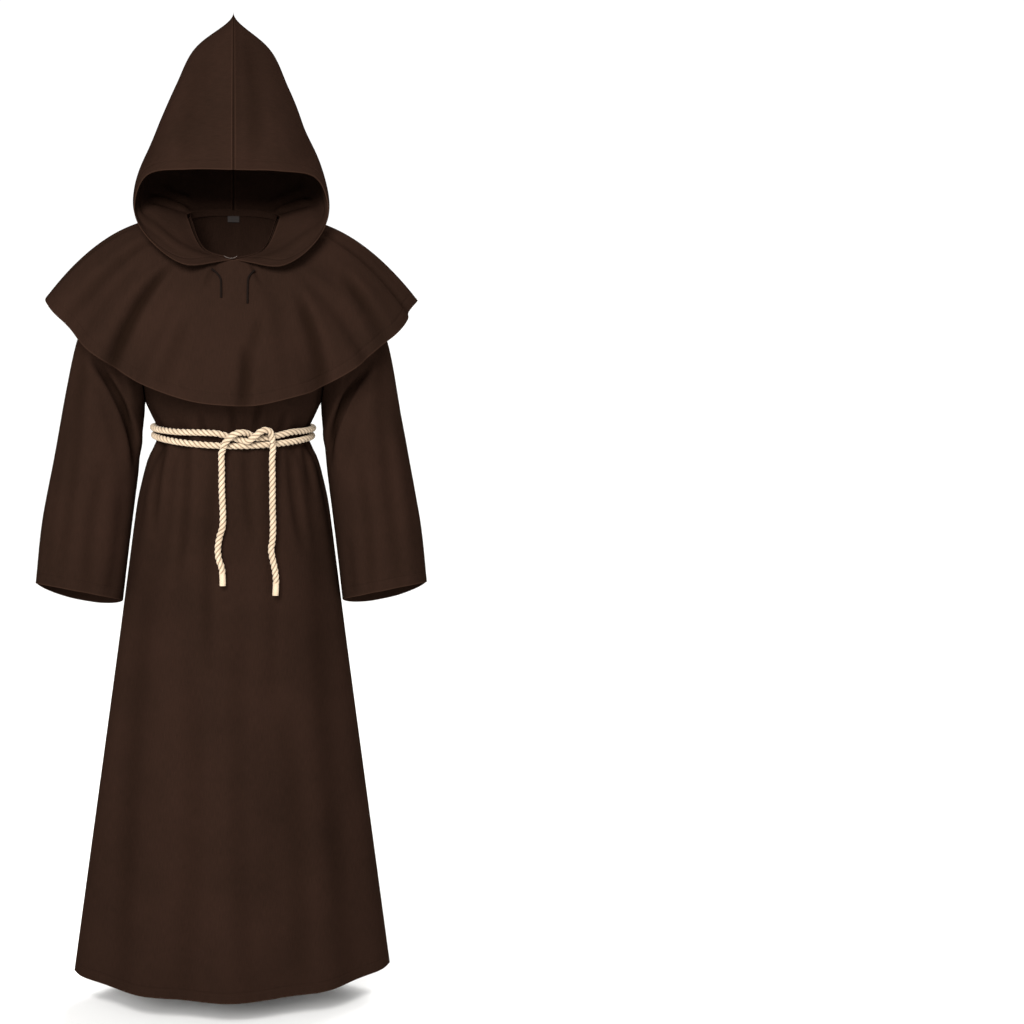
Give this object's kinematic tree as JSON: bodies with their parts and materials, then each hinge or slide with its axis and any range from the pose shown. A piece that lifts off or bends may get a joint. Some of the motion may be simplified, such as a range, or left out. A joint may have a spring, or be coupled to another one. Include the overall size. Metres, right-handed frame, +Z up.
{
  "type": "hooded monk robe costume with shoulder cape and rope belt",
  "caption": "Long hooded robe, filled out and hollow, with wide straight sleeves, a short shoulder cape, a pointed hood and a twisted rope belt tied in front.",
  "frame": {"origin": "midway between the shoulders at the base of the neck, where the wearer holds it up", "axes": "+Z up along the wearer's neck, front of the robe towards -Y, wearer's left sleeve towards +X"},
  "size_m": [0.701, 0.3541, 1.7431],
  "materials": {
    "brown_cloth": "matt plain-woven polyester",
    "cotton_rope": "twisted three-strand cotton",
    "dark_cord": "thin braided cord",
    "grey_label": "plain woven label"
  },
  "bodies": {
    "root": {"robe_front": "brown_cloth", "robe_back": "brown_cloth", "sleeve_left": "brown_cloth", "sleeve_right": "brown_cloth", "cape": "brown_cloth", "hood_left": "brown_cloth", "hood_right": "brown_cloth", "rope_turn_lower": "cotton_rope", "rope_turn_upper": "cotton_rope", "rope_end_left": "cotton_rope", "rope_end_right": "cotton_rope", "drawstring_left": "dark_cord", "drawstring_right": "dark_cord", "size_label": "grey_label"}
  },
  "joints": []
}
